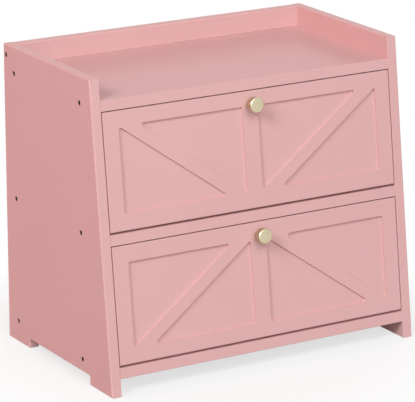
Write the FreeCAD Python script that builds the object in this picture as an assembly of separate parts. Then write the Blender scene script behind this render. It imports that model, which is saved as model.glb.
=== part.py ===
import FreeCAD
import Part

import math
import os

# A double-layer bread box in painted board.  Two side panels with a leaning front edge carry
# three boards.  Each compartment between the boards is closed by a drop-front door that turns on
# two pins near its lower edge and is held shut by a pair of magnetic catches.  A low rail at the
# back and the tops of the side panels make a tray of the top board.
#
# Frame: +X to the right, -Y to the front, +Z up, origin on the table under the middle of the box.
# All sizes are in millimetres.

# Carcass
WIDTH = 400.0
BASE_DEPTH = 245.0
FRONT_SETBACK = 45.0
SIDE_THICKNESS = 12.0
BOARD_THICKNESS = 12.0
COMPARTMENT_HEIGHT = 135.0
BASE_CLEARANCE = 19.5
TRAY_WALL_HEIGHT = 24.5
BACK_RAIL_THICKNESS = 12.0
EDGE_RADIUS = 1.5
BOARD_EDGE_RADIUS = 0.6

# Feet: what the arch cut from the lower edge of a side panel leaves
FOOT_LENGTH = 51.0
ARCH_HEIGHT = 11.0
ARCH_CORNER_RADIUS = 3.0

# Back panel, held in grooves on all four sides
BACK_PANEL_THICKNESS = 3.0
BACK_PANEL_INSET = 8.0
GROOVE_DEPTH = 4.0
GROOVE_CLEARANCE = 0.2

# Screws through the side panels into the ends of the boards and of the back rail
PANEL_SCREW_SHANK = 3.5
PANEL_SCREW_HEAD = 6.0
PANEL_SCREW_HEAD_DEPTH = 2.4
PANEL_SCREW_LENGTH = 35.0
PANEL_SCREW_POINT = 4.0
PANEL_SCREW_TIP = 0.9
PANEL_SCREW_SUNK = 0.8
PANEL_SCREW_REAR_INSET = 24.5
PANEL_SCREW_FRONT_INSET = 22.5
SCREW_CLEARANCE = 0.1

# Doors: a flat panel whose face has a raised frame, a middle stile and two diagonal braces
DOOR_THICKNESS = 12.0
DOOR_SIDE_GAP = 1.1
DOOR_TOP_GAP = 0.9
DOOR_BOTTOM_GAP = 2.5
DOOR_EDGE_RADIUS = 0.6
DOOR_FOOT_RADIUS = 1.5
STILE_WIDTH = 19.0
MIDDLE_STILE_WIDTH = 20.0
MEETING_RAIL_WIDTH = 19.0
PARTING_RAIL_WIDTH = 17.0
BRACE_WIDTH = 14.0
RELIEF_DEPTH = 3.0
RELIEF_CORNER_RADIUS = 2.5
RELIEF_ROUNDING = 0.3
LARGEST_ROUNDING_SHARE = 0.4

# Pivots: a steel pin fast in each end of a door turns in a nylon bush let into the side panel
PIVOT_FROM_FACE = 5.2
PIVOT_ABOVE_EDGE = 5.5
PIN_DIAMETER = 3.0
PIN_IN_DOOR = 14.0
PIN_END_SPACE = 1.5
PIN_CHAMFER = 0.4
BUSH_DIAMETER = 6.0
BUSH_COVER = 4.0
RUNNING_CLEARANCE = 0.05
FAST_CLEARANCE = 0.02

# Knobs and the screws that hold them
KNOB_HEAD_DIAMETER = 17.5
KNOB_HEAD_THICKNESS = 9.0
KNOB_NECK_DIAMETER = 10.0
KNOB_NECK_LENGTH = 7.0
KNOB_CHAMFER = 1.0
KNOB_BELOW_TOP = 14.8
KNOB_SCREW_DIAMETER = 4.0
KNOB_SCREW_BITE = 9.0
KNOB_THREAD_SPARE = 2.0
KNOB_SCREW_HEAD = 8.0
KNOB_SCREW_HEAD_HEIGHT = 2.6

# Magnetic catches under the board above each door, and the steel plates on the door that they hold
CATCH_FROM_SIDE = 48.0
CATCH_WALL = 3.0
CATCH_EDGE_RADIUS = 0.8
CATCH_AIR_GAP = 0.3
CATCH_EAR_THICKNESS = 3.0
CATCH_EAR_MARGIN = 2.2
CATCH_EAR_CORNER_RADIUS = 3.0
CATCH_SCREW_DIAMETER = 3.0
CATCH_SCREW_HEAD = 5.6
CATCH_SCREW_HEAD_HEIGHT = 2.0
CATCH_SCREW_COVER = 4.0
MAGNET_WIDTH = 14.0
MAGNET_HEIGHT = 4.0
MAGNET_DEPTH = 9.0
POLE_THICKNESS = 1.2
STRIKE_WIDTH = 18.0
STRIKE_HEIGHT = 11.0
STRIKE_THICKNESS = 1.2
STRIKE_BELOW_TOP = 1.0
STRIKE_CORNER_RADIUS = 1.2
STRIKE_SCREW_DIAMETER = 2.5
STRIKE_SCREW_HEAD = 4.8
STRIKE_SCREW_LENGTH = 8.0

# Cross slots in the screw heads
CROSS_WIDTH = 0.9
CROSS_LENGTH = 3.0
CROSS_DEPTH = 0.7

# Heights of the boards, from the table up
BOTTOM_BOARD_Z = BASE_CLEARANCE
LOWER_FLOOR_Z = BOTTOM_BOARD_Z + BOARD_THICKNESS
MIDDLE_SHELF_Z = LOWER_FLOOR_Z + COMPARTMENT_HEIGHT
UPPER_FLOOR_Z = MIDDLE_SHELF_Z + BOARD_THICKNESS
TOP_BOARD_Z = UPPER_FLOOR_Z + COMPARTMENT_HEIGHT
TRAY_FLOOR_Z = TOP_BOARD_Z + BOARD_THICKNESS
HEIGHT = TRAY_FLOOR_Z + TRAY_WALL_HEIGHT

# Planes that the pieces share
OUTER_X = WIDTH / 2
INNER_X = OUTER_X - SIDE_THICKNESS
REAR_Y = BASE_DEPTH / 2
TOP_FRONT_Y = FRONT_SETBACK - BASE_DEPTH / 2
LEAN = math.atan2(FRONT_SETBACK, HEIGHT)
BACK_PANEL_REAR_Y = REAR_Y - BACK_PANEL_INSET
BACK_PANEL_FRONT_Y = BACK_PANEL_REAR_Y - BACK_PANEL_THICKNESS

# Places of the panel screws: along x, their heads are sunk in the outer face of a side panel
SCREW_REAR_Y = REAR_Y - PANEL_SCREW_REAR_INSET
SCREW_FRONT_Y = TOP_FRONT_Y + PANEL_SCREW_FRONT_INSET
HEAD_TOP_X = OUTER_X - PANEL_SCREW_SUNK
HEAD_BOTTOM_X = HEAD_TOP_X - PANEL_SCREW_HEAD_DEPTH
SCREW_TIP_X = HEAD_TOP_X - PANEL_SCREW_LENGTH
SCREW_POINT_X = SCREW_TIP_X + PANEL_SCREW_POINT

# A door in its own frame: x as the box, y inwards from its face, z up its slope from its lower edge
DOOR_HALF_WIDTH = INNER_X - DOOR_SIDE_GAP
DOOR_HEIGHT = (COMPARTMENT_HEIGHT - DOOR_TOP_GAP - DOOR_BOTTOM_GAP) / math.cos(LEAN)
KNOB_UP_DOOR = DOOR_HEIGHT - KNOB_BELOW_TOP
CATCH_X = INNER_X - CATCH_FROM_SIDE
STRIKE_UP_DOOR = DOOR_HEIGHT - STRIKE_BELOW_TOP - STRIKE_HEIGHT / 2
STRIKE_OUTER_Y = DOOR_THICKNESS + STRIKE_THICKNESS
STRIKE_TIP_Y = STRIKE_OUTER_Y - STRIKE_SCREW_LENGTH
BUSH_LENGTH = SIDE_THICKNESS - BUSH_COVER
PIN_IN_PANEL = BUSH_LENGTH - PIN_END_SPACE

# A catch: its magnet and pole plates stand behind the closed door's strike plate, square to it
POLE_FACE_Y = STRIKE_OUTER_Y + CATCH_AIR_GAP
STACK_HEIGHT = MAGNET_HEIGHT + 2 * POLE_THICKNESS
CATCH_HALF_WIDTH = MAGNET_WIDTH / 2 + CATCH_WALL
CATCH_DEPTH = MAGNET_DEPTH + 2 * CATCH_WALL
CATCH_EAR_SIZE = CATCH_SCREW_HEAD + 2 * CATCH_EAR_MARGIN
CATCH_SCREW_REACH = CATCH_HALF_WIDTH + CATCH_EAR_SIZE / 2
CATCH_SCREW_XS = (CATCH_X - CATCH_SCREW_REACH, CATCH_X + CATCH_SCREW_REACH)
CATCH_SCREW_BITE = BOARD_THICKNESS - CATCH_SCREW_COVER

OVERCUT = 1.0
TOLERANCE = 1e-4
LEFT, RIGHT = -1, 1


def front_y(z):
    """The y of the leaning front plane at height z."""
    return FRONT_SETBACK * z / HEIGHT - BASE_DEPTH / 2


def box(x_span, y_span, z_span):
    """A block between three pairs of coordinates."""
    low = FreeCAD.Vector(x_span[0], y_span[0], z_span[0])
    sizes = (x_span[1] - x_span[0], y_span[1] - y_span[0], z_span[1] - z_span[0])
    return Part.makeBox(*sizes, low)


def rod(diameter, start, end):
    """A round bar from one point to another."""
    start, end = FreeCAD.Vector(*start), FreeCAD.Vector(*end)
    return Part.makeCylinder(diameter / 2, (end - start).Length, start, end - start)


def taper(start_diameter, end_diameter, start, end):
    """A round bar whose diameter changes evenly from start to end."""
    start, end = FreeCAD.Vector(*start), FreeCAD.Vector(*end)
    length = (end - start).Length
    return Part.makeCone(start_diameter / 2, end_diameter / 2, length, start, end - start)


def prism_along_x(outline, x_span):
    """An outline of (y, z) points, carried along x."""
    corners = [FreeCAD.Vector(x_span[0], y, z) for y, z in outline]
    face = Part.Face(Part.makePolygon(corners + corners[:1]))
    return face.extrude(FreeCAD.Vector(x_span[1] - x_span[0], 0, 0))


def edges_where(shape, test):
    """The edges of a shape whose end points all pass a test."""
    return [e for e in shape.Edges if all(test(v.Point) for v in e.Vertexes)]


def edges_along_x(shape, places):
    """The edges of a shape that run along x through the given (y, z) places."""
    found = []
    for y, z in places:
        found += edges_where(shape, lambda p: math.hypot(p.y - y, p.z - z) < TOLERANCE)
    return found


def edges_along(shape, axis):
    """The straight edges of a shape that run along an axis."""
    found = []
    for edge in shape.Edges:
        run = edge.Vertexes[-1].Point - edge.Vertexes[0].Point
        if run.Length > TOLERANCE and run.cross(axis).Length < TOLERANCE:
            found.append(edge)
    return found


def mirrored(shape):
    """The same shape on the other side of the box."""
    return shape.mirror(FreeCAD.Vector(0, 0, 0), FreeCAD.Vector(1, 0, 0))


def on_side(shape, side):
    """A shape drawn for the right-hand side, or its mirror image for the left."""
    return shape if side == RIGHT else mirrored(shape)


def on_slope(shape, floor_z):
    """A shape drawn in a door's own frame, put in the opening above floor_z."""
    sill_z = floor_z + DOOR_BOTTOM_GAP
    turn = FreeCAD.Rotation(FreeCAD.Vector(1, 0, 0), -math.degrees(LEAN))
    place = FreeCAD.Placement(FreeCAD.Vector(0, front_y(sill_z), sill_z), turn)
    placed = shape.copy()
    placed.Placement = place.multiply(shape.Placement)
    return placed


def slope_point(floor_z, y, z):
    """The (y, z) in the box of a point given in a door's own frame."""
    point = on_slope(Part.Vertex(0, y, z), floor_z).Point
    return point.y, point.z


def pivot_place(floor_z):
    """The (y, z) of the pivot of the door in the opening above floor_z."""
    return slope_point(floor_z, PIVOT_FROM_FACE, PIVOT_ABOVE_EDGE)


def cross_slot(centre, outwards):
    """A cutter for the cross slot of a screw head whose top faces outwards at centre."""
    arm, half = (-CROSS_LENGTH / 2, CROSS_LENGTH / 2), (-CROSS_WIDTH / 2, CROSS_WIDTH / 2)
    deep = (-CROSS_DEPTH, OVERCUT)
    slot = box(arm, half, deep).fuse(box(half, arm, deep))
    turn = FreeCAD.Rotation(FreeCAD.Vector(0, 0, 1), FreeCAD.Vector(*outwards))
    slot.Placement = FreeCAD.Placement(FreeCAD.Vector(*centre), turn)
    return slot


def round_head(diameter, height, seat, top):
    """A domed screw head from its seat to its top."""
    head = rod(diameter, seat, top)
    crown = edges_where(head, lambda p: (p - FreeCAD.Vector(*top)).Length < diameter / 2 + TOLERANCE)
    return head.makeFillet(height / 2, crown)


def panel_screw_places():
    """The (y, z) of each screw through a side panel."""
    rows = [z + BOARD_THICKNESS / 2 for z in (BOTTOM_BOARD_Z, MIDDLE_SHELF_Z, TOP_BOARD_Z)]
    places = [(y, z) for z in rows for y in (SCREW_REAR_Y, SCREW_FRONT_Y)]
    return places + [back_rail_screw_place()]


def back_rail_screw_place():
    """The (y, z) of the screw in an end of the back rail."""
    return REAR_Y - BACK_RAIL_THICKNESS / 2, TRAY_FLOOR_Z + TRAY_WALL_HEIGHT / 2


def panel_screw(y, z):
    """A small-headed wood screw for the right-hand side panel."""
    head = taper(PANEL_SCREW_SHANK, PANEL_SCREW_HEAD, (HEAD_BOTTOM_X, y, z), (HEAD_TOP_X, y, z))
    shank = rod(PANEL_SCREW_SHANK, (SCREW_POINT_X, y, z), (HEAD_BOTTOM_X, y, z))
    point = taper(PANEL_SCREW_TIP, PANEL_SCREW_SHANK, (SCREW_TIP_X, y, z), (SCREW_POINT_X, y, z))
    screw = head.fuse([shank, point]).cut(cross_slot((HEAD_TOP_X, y, z), (1, 0, 0)))
    return screw.removeSplitter()


def panel_screw_hole(y, z):
    """The cutter for one panel screw: mouth, countersink and shank hole in one."""
    head = PANEL_SCREW_HEAD + 2 * SCREW_CLEARANCE
    shank = PANEL_SCREW_SHANK + 2 * SCREW_CLEARANCE
    mouth = rod(head, (HEAD_TOP_X, y, z), (OUTER_X + OVERCUT, y, z))
    seat = taper(shank, head, (HEAD_BOTTOM_X, y, z), (HEAD_TOP_X, y, z))
    pilot = rod(shank, (SCREW_TIP_X - SCREW_CLEARANCE, y, z), (HEAD_BOTTOM_X, y, z))
    return mouth.fuse([seat, pilot])


def drill_both_ends(shape, places):
    """The shape with holes for panel screws in both of its ends."""
    holes = [panel_screw_hole(y, z) for y, z in places]
    return shape.cut(holes + [mirrored(hole) for hole in holes])


def side_panel():
    """The right-hand side panel: leaning front edge, feet, groove, bush pockets and screw holes."""
    foot_y = BASE_DEPTH / 2 - FOOT_LENGTH
    outline = [(-REAR_Y, 0), (-foot_y, 0), (-foot_y, ARCH_HEIGHT), (foot_y, ARCH_HEIGHT),
               (foot_y, 0), (REAR_Y, 0), (REAR_Y, HEIGHT), (TOP_FRONT_Y, HEIGHT)]
    panel = prism_along_x(outline, (INNER_X, OUTER_X))
    arch_corners = edges_along_x(panel, [(-foot_y, ARCH_HEIGHT), (foot_y, ARCH_HEIGHT)])
    panel = panel.makeFillet(ARCH_CORNER_RADIUS, arch_corners)
    panel = panel.makeFillet(EDGE_RADIUS, edges_where(panel, lambda p: abs(p.x - OUTER_X) < TOLERANCE))
    inner_rim = edges_where(panel, lambda p: abs(p.x - INNER_X) < TOLERANCE)
    panel = panel.makeFillet(BOARD_EDGE_RADIUS, inner_rim)
    cuts = [back_panel_groove()] + [panel_screw_hole(y, z) for y, z in panel_screw_places()]
    for floor_z in (LOWER_FLOOR_Z, UPPER_FLOOR_Z):
        place = pivot_place(floor_z)
        cuts.append(rod(BUSH_DIAMETER, (INNER_X - OVERCUT, *place), (INNER_X + BUSH_LENGTH, *place)))
    return panel.cut(cuts)


def back_panel_groove():
    """A cutter for the slot that takes the back panel, in all the pieces round it."""
    half = INNER_X + GROOVE_DEPTH
    y_span = (BACK_PANEL_FRONT_Y - GROOVE_CLEARANCE, BACK_PANEL_REAR_Y + GROOVE_CLEARANCE)
    return box((-half, half), y_span, (LOWER_FLOOR_Z - GROOVE_DEPTH, TOP_BOARD_Z + GROOVE_DEPTH))


def back_panel():
    """The thin sheet that closes the back, standing on the bottom of its groove."""
    half = INNER_X + GROOVE_DEPTH - GROOVE_CLEARANCE
    z_span = (LOWER_FLOOR_Z - GROOVE_DEPTH, TOP_BOARD_Z + GROOVE_DEPTH - GROOVE_CLEARANCE)
    return box((-half, half), (BACK_PANEL_FRONT_Y, BACK_PANEL_REAR_Y), z_span)


def board(low_z, rear_y):
    """A board between the side panels, its front edge flush with the leaning front."""
    high_z = low_z + BOARD_THICKNESS
    front = [(front_y(low_z), low_z), (front_y(high_z), high_z)]
    plank = prism_along_x([front[0], (rear_y, low_z), (rear_y, high_z), front[1]], (-INNER_X, INNER_X))
    plank = plank.makeFillet(BOARD_EDGE_RADIUS, edges_along_x(plank, front))
    middle_z = low_z + BOARD_THICKNESS / 2
    return drill_both_ends(plank, [(SCREW_REAR_Y, middle_z), (SCREW_FRONT_Y, middle_z)])


def back_rail():
    """The low wall at the back of the tray, standing on the top board with a fine seam between them."""
    face_y = REAR_Y - BACK_RAIL_THICKNESS
    rail = box((-INNER_X, INNER_X), (face_y, REAR_Y), (TRAY_FLOOR_Z, HEIGHT))
    rail = rail.makeFillet(EDGE_RADIUS, edges_along_x(rail, [(face_y, HEIGHT), (REAR_Y, HEIGHT)]))
    rail = rail.makeFillet(BOARD_EDGE_RADIUS, edges_along_x(rail, [(face_y, TRAY_FLOOR_Z)]))
    return drill_both_ends(rail, [back_rail_screw_place()])


def relief_triangles(brace_falls):
    """The corners (x, z) of the two sunk triangles in the left half of a door's face.

    The brace between them fills the diagonal of the half, with its two edges on opposite corners.
    brace_falls says that it runs down towards the middle of the door.  The rail that the braces
    meet at is the wider one, so a door with rising braces is one with falling braces, turned over.
    """
    left, right = STILE_WIDTH - DOOR_HALF_WIDTH, -MIDDLE_STILE_WIDTH / 2
    low_rail, high_rail = MEETING_RAIL_WIDTH, PARTING_RAIL_WIDTH
    if not brace_falls:
        low_rail, high_rail = high_rail, low_rail
    low, high = low_rail, DOOR_HEIGHT - high_rail
    wide, tall = right - left, high - low
    slope = math.atan2(tall, wide) + math.asin(BRACE_WIDTH / math.hypot(wide, tall))
    foot = tall / math.tan(slope)
    outer, inner = (high, low) if brace_falls else (low, high)
    return [[(left, outer), (left, inner), (left + foot, inner)],
            [(right, inner), (right, outer), (right - foot, outer)]]


def relief_cutter(corners, rounding):
    """One sunk triangle as a cutter, with rounded corners and a coved floor."""
    points = [FreeCAD.Vector(x, -OVERCUT, z) for x, z in corners]
    face = Part.Face(Part.makePolygon(points + points[:1]))
    prism = face.extrude(FreeCAD.Vector(0, OVERCUT + RELIEF_DEPTH, 0))
    prism = prism.makeFillet(RELIEF_CORNER_RADIUS, edges_along(prism, FreeCAD.Vector(0, 1, 0)))
    floor = edges_where(prism, lambda p: abs(p.y - RELIEF_DEPTH) < TOLERANCE)
    return prism.makeFillet(rounding, floor)


def door_panel(brace_falls):
    """A door in its own frame: rounded face edges, sunk triangles and holes for its fittings."""
    half = DOOR_HALF_WIDTH
    panel = box((-half, half), (0, DOOR_THICKNESS), (0, DOOR_HEIGHT))
    foot = edges_along_x(panel, [(0, 0)])
    panel = panel.makeFillet(DOOR_FOOT_RADIUS, foot)
    panel = panel.makeFillet(DOOR_EDGE_RADIUS, edges_where(panel, lambda p: abs(p.y) < TOLERANCE < p.z))
    rounding = min(RELIEF_ROUNDING, LARGEST_ROUNDING_SHARE * RELIEF_DEPTH)
    cutters = [relief_cutter(corners, rounding) for corners in relief_triangles(brace_falls)]
    panel = panel.cut(cutters + [mirrored(cutter) for cutter in cutters])
    face = max((f for f in panel.Faces if f.BoundBox.YMax < TOLERANCE), key=lambda f: f.Area)
    rims = [e for wire in face.Wires if not wire.isSame(face.OuterWire) for e in wire.Edges]
    return panel.makeFillet(rounding, rims).cut(door_holes())


def door_holes():
    """Cutters for a door's knob screw, pivot pins and strike screws."""
    knob_hole = KNOB_SCREW_DIAMETER + 2 * SCREW_CLEARANCE
    pin_hole = PIN_DIAMETER + 2 * FAST_CLEARANCE
    strike_hole = STRIKE_SCREW_DIAMETER + 2 * SCREW_CLEARANCE
    through_y = DOOR_THICKNESS + OVERCUT
    pivot = (PIVOT_FROM_FACE, PIVOT_ABOVE_EDGE)
    holes = [rod(knob_hole, (0, -OVERCUT, KNOB_UP_DOOR), (0, through_y, KNOB_UP_DOOR))]
    for side in (LEFT, RIGHT):
        inner, outer = side * (DOOR_HALF_WIDTH - PIN_IN_DOOR), side * (DOOR_HALF_WIDTH + OVERCUT)
        holes.append(rod(pin_hole, (inner, *pivot), (outer, *pivot)))
        bottom = (side * CATCH_X, STRIKE_TIP_Y - SCREW_CLEARANCE, STRIKE_UP_DOOR)
        holes.append(rod(strike_hole, bottom, (side * CATCH_X, through_y, STRIKE_UP_DOOR)))
    return holes


def knob():
    """A round knob on a narrower neck, standing on the door's face and drilled for its screw."""
    face_y = -KNOB_NECK_LENGTH - KNOB_HEAD_THICKNESS
    thread_y = -KNOB_SCREW_BITE - KNOB_THREAD_SPARE
    seat, shoulder = (0, 0, KNOB_UP_DOOR), (0, -KNOB_NECK_LENGTH, KNOB_UP_DOOR)
    neck = rod(KNOB_NECK_DIAMETER, seat, shoulder)
    head = rod(KNOB_HEAD_DIAMETER, shoulder, (0, face_y, KNOB_UP_DOOR))
    rims = edges_where(head, lambda p: p.y < face_y + TOLERANCE)
    rims += edges_where(head, lambda p: p.y > -KNOB_NECK_LENGTH - TOLERANCE)
    body = head.makeChamfer(KNOB_CHAMFER, rims).fuse(neck).removeSplitter()
    thread = KNOB_SCREW_DIAMETER + 2 * FAST_CLEARANCE
    return body.cut(rod(thread, (0, OVERCUT, KNOB_UP_DOOR), (0, thread_y, KNOB_UP_DOOR)))


def knob_screw():
    """The screw that holds a knob, with its round head on the inside of the door."""
    seat = (0, DOOR_THICKNESS, KNOB_UP_DOOR)
    top = (0, DOOR_THICKNESS + KNOB_SCREW_HEAD_HEIGHT, KNOB_UP_DOOR)
    shank = rod(KNOB_SCREW_DIAMETER, (0, -KNOB_SCREW_BITE, KNOB_UP_DOOR), seat)
    head = round_head(KNOB_SCREW_HEAD, KNOB_SCREW_HEAD_HEIGHT, seat, top)
    return head.fuse(shank).cut(cross_slot(top, (0, 1, 0))).removeSplitter()


def pivot_pin(side):
    """A pin fast in one end of a door, in the door's own frame."""
    pivot = (PIVOT_FROM_FACE, PIVOT_ABOVE_EDGE)
    inner, outer = DOOR_HALF_WIDTH - PIN_IN_DOOR, INNER_X + PIN_IN_PANEL
    pin = rod(PIN_DIAMETER, (inner, *pivot), (outer, *pivot))
    ends = edges_where(pin, lambda p: abs(p.x - inner) < TOLERANCE)
    ends += edges_where(pin, lambda p: abs(p.x - outer) < TOLERANCE)
    return on_side(pin.makeChamfer(PIN_CHAMFER, ends), side)


def pivot_bush(side, floor_z):
    """A nylon sleeve let into a side panel, flush with its inner face."""
    place = pivot_place(floor_z)
    mouth, bottom = (INNER_X, *place), (INNER_X + BUSH_LENGTH, *place)
    outside = rod(BUSH_DIAMETER - 2 * FAST_CLEARANCE, mouth, bottom)
    return on_side(outside.cut(rod(PIN_DIAMETER + 2 * RUNNING_CLEARANCE, mouth, bottom)), side)


def strike_screw_body(growth):
    """A flat-headed screw through a strike plate, its diameters grown to make a cutter of it."""
    shank_diameter, head_diameter = STRIKE_SCREW_DIAMETER + growth, STRIKE_SCREW_HEAD + growth
    seat, top = (CATCH_X, DOOR_THICKNESS, STRIKE_UP_DOOR), (CATCH_X, STRIKE_OUTER_Y, STRIKE_UP_DOOR)
    shank = rod(shank_diameter, (CATCH_X, STRIKE_TIP_Y, STRIKE_UP_DOOR), seat)
    return taper(shank_diameter, head_diameter, seat, top).fuse(shank)


def strike_screw(side):
    """One strike screw with its cross slot."""
    slot = cross_slot((CATCH_X, STRIKE_OUTER_Y, STRIKE_UP_DOOR), (0, 1, 0))
    return on_side(strike_screw_body(0).cut(slot).removeSplitter(), side)


def strike_plate(side):
    """A steel plate on the inside of a door, countersunk for its screw."""
    x_span = (CATCH_X - STRIKE_WIDTH / 2, CATCH_X + STRIKE_WIDTH / 2)
    up_span = (STRIKE_UP_DOOR - STRIKE_HEIGHT / 2, STRIKE_UP_DOOR + STRIKE_HEIGHT / 2)
    plate = box(x_span, (DOOR_THICKNESS, STRIKE_OUTER_Y), up_span)
    plate = plate.makeFillet(STRIKE_CORNER_RADIUS, edges_along(plate, FreeCAD.Vector(0, 1, 0)))
    return on_side(plate.cut(strike_screw_body(2 * SCREW_CLEARANCE)), side)


def behind_pole_faces(low, high, clearance=0.0):
    """A block of a catch's stack, from low to high about its middle, grown by a clearance."""
    half = MAGNET_WIDTH / 2 + clearance
    y_span = (POLE_FACE_Y - clearance, POLE_FACE_Y + MAGNET_DEPTH + clearance)
    up_span = (STRIKE_UP_DOOR + low - clearance, STRIKE_UP_DOOR + high + clearance)
    return box((CATCH_X - half, CATCH_X + half), y_span, up_span)


def catch_magnet(side):
    """The flat magnet of a catch."""
    return on_side(behind_pole_faces(-MAGNET_HEIGHT / 2, MAGNET_HEIGHT / 2), side)


def pole_plates(side):
    """The two steel plates below and above a catch's magnet."""
    below = behind_pole_faces(-STACK_HEIGHT / 2, -MAGNET_HEIGHT / 2)
    above = behind_pole_faces(MAGNET_HEIGHT / 2, STACK_HEIGHT / 2)
    return [on_side(below, side), on_side(above, side)]


def catch_screw_y(ceiling_z):
    """The y of the screws of a catch under the board at ceiling_z."""
    return front_y(ceiling_z) + (POLE_FACE_Y + CATCH_DEPTH / 2) / math.cos(LEAN)


def catch_housing(side, floor_z, ceiling_z):
    """The moulded body of a catch, held by two ears to the underside of a board."""
    stack_bottom = slope_point(floor_z, POLE_FACE_Y + MAGNET_DEPTH, STRIKE_UP_DOOR - STACK_HEIGHT / 2)
    low_z = stack_bottom[1] - CATCH_WALL
    shift = POLE_FACE_Y / math.cos(LEAN)
    rear_y = front_y(ceiling_z) + shift + CATCH_DEPTH
    outline = [(front_y(low_z) + shift, low_z), (rear_y, low_z), (rear_y, ceiling_z),
               (front_y(ceiling_z) + shift, ceiling_z)]
    body = prism_along_x(outline, (CATCH_X - CATCH_HALF_WIDTH, CATCH_X + CATCH_HALF_WIDTH))
    body = body.makeFillet(CATCH_EDGE_RADIUS, edges_where(body, lambda p: p.z < low_z + TOLERANCE))
    reach, screw_y = CATCH_HALF_WIDTH + CATCH_EAR_SIZE, catch_screw_y(ceiling_z)
    ears = box((CATCH_X - reach, CATCH_X + reach),
               (screw_y - CATCH_EAR_SIZE / 2, screw_y + CATCH_EAR_SIZE / 2),
               (ceiling_z - CATCH_EAR_THICKNESS, ceiling_z))
    ears = ears.makeFillet(CATCH_EAR_CORNER_RADIUS, edges_along(ears, FreeCAD.Vector(0, 0, 1)))
    pocket = behind_pole_faces(-STACK_HEIGHT / 2, STACK_HEIGHT / 2, FAST_CLEARANCE)
    cuts = [on_slope(pocket, floor_z)] + catch_screw_holes(ceiling_z)
    return on_side(body.fuse(ears).cut(cuts).removeSplitter(), side)


def catch_screw_holes(ceiling_z):
    """Cutters for the two screws of a catch, through its ears and into the board above."""
    y, hole = catch_screw_y(ceiling_z), CATCH_SCREW_DIAMETER + 2 * SCREW_CLEARANCE
    low_z = ceiling_z - CATCH_EAR_THICKNESS - OVERCUT
    high_z = ceiling_z + CATCH_SCREW_BITE + SCREW_CLEARANCE
    return [rod(hole, (x, y, low_z), (x, y, high_z)) for x in CATCH_SCREW_XS]


def catch_screws(side, ceiling_z):
    """The two round-headed screws that hold a catch to the board above it."""
    y, seat_z = catch_screw_y(ceiling_z), ceiling_z - CATCH_EAR_THICKNESS
    top_z = seat_z - CATCH_SCREW_HEAD_HEIGHT
    screws = []
    for x in CATCH_SCREW_XS:
        head = round_head(CATCH_SCREW_HEAD, CATCH_SCREW_HEAD_HEIGHT, (x, y, seat_z), (x, y, top_z))
        shank = rod(CATCH_SCREW_DIAMETER, (x, y, seat_z), (x, y, ceiling_z + CATCH_SCREW_BITE))
        screw = head.fuse(shank).cut(cross_slot((x, y, top_z), (0, 0, -1)))
        screws.append(on_side(screw.removeSplitter(), side))
    return screws


def drill_for_catches(plank, ceiling_z):
    """A board with holes in its underside for the screws of the two catches below it."""
    holes = catch_screw_holes(ceiling_z)
    return plank.cut(holes + [mirrored(hole) for hole in holes])


def carcass():
    """The fixed pieces: panels, boards, back, and the screws that hold them together."""
    right = side_panel()
    screws = [panel_screw(y, z) for y, z in panel_screw_places()]
    top = board(TOP_BOARD_Z, REAR_Y).cut(back_panel_groove())
    middle = board(MIDDLE_SHELF_Z, BACK_PANEL_FRONT_Y - GROOVE_CLEARANCE)
    return {
        "left_side_panel": mirrored(right),
        "right_side_panel": right,
        "top_board": drill_for_catches(top, TOP_BOARD_Z),
        "middle_shelf": drill_for_catches(middle, MIDDLE_SHELF_Z),
        "bottom_board": board(BOTTOM_BOARD_Z, REAR_Y).cut(back_panel_groove()),
        "back_rail": back_rail(),
        "back_panel": back_panel(),
        "left_panel_screws": Part.makeCompound([mirrored(screw) for screw in screws]),
        "right_panel_screws": Part.makeCompound(screws),
    }


def layer(name, floor_z, ceiling_z, brace_falls):
    """One layer's door with its fittings, and the bushes and catches that hold it."""
    def together(pieces):
        return Part.makeCompound([on_slope(piece, floor_z) for piece in pieces])

    sides = ((LEFT, "left"), (RIGHT, "right"))
    screws = [screw for side, _ in sides for screw in catch_screws(side, ceiling_z)]
    nodes = {
        f"{name}_door_panel": on_slope(door_panel(brace_falls), floor_z),
        f"{name}_door_knob": on_slope(knob(), floor_z),
        f"{name}_knob_screw": on_slope(knob_screw(), floor_z),
        f"{name}_strike_screws": together([strike_screw(side) for side, _ in sides]),
        f"{name}_catch_magnets": together([catch_magnet(side) for side, _ in sides]),
        f"{name}_catch_pole_plates": together([p for side, _ in sides for p in pole_plates(side)]),
        f"{name}_catch_screws": Part.makeCompound(screws),
    }
    for side, word in sides:
        nodes[f"{name}_{word}_pivot_pin"] = on_slope(pivot_pin(side), floor_z)
        nodes[f"{name}_{word}_pivot_bush"] = pivot_bush(side, floor_z)
        nodes[f"{name}_{word}_strike_plate"] = on_slope(strike_plate(side), floor_z)
        nodes[f"{name}_{word}_catch_housing"] = catch_housing(side, floor_z, ceiling_z)
    return nodes


def main():
    os.makedirs("parts", exist_ok=True)
    nodes = carcass()
    nodes.update(layer("lower", LOWER_FLOOR_Z, MIDDLE_SHELF_Z, brace_falls=False))
    nodes.update(layer("upper", UPPER_FLOOR_Z, TOP_BOARD_Z, brace_falls=True))
    for name, shape in nodes.items():
        shape.exportStep(f"parts/{name}.step")
        volume = shape.Volume / 1000
        print(f"{name}: {len(shape.Solids)} solid(s), {volume:.2f} cm3, valid {shape.isValid()}")
    for name, floor_z in (("lower", LOWER_FLOOR_Z), ("upper", UPPER_FLOOR_Z)):
        y, z = pivot_place(floor_z)
        print(f"{name} pivot axis at y {y:.3f}, z {z:.3f}")
    print(f"height {HEIGHT:.1f}, lean {math.degrees(LEAN):.3f} degrees, door height {DOOR_HEIGHT:.2f}")


main()
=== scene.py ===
# %% [markdown]
# # A double-layer bread box in pink lacquer
#
# The box is made of painted board: two leaning side panels, three boards, a low rail behind the tray
# on top, and two drop-front doors with pale gold knobs.  The solid model already has every piece at its
# true size and place, so it is loaded first and stays fixed.  This lesson gives the pieces their finishes,
# and makes again, in finer shape, the ones that Blender can do better.

# %% Load the solid model
import math

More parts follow.
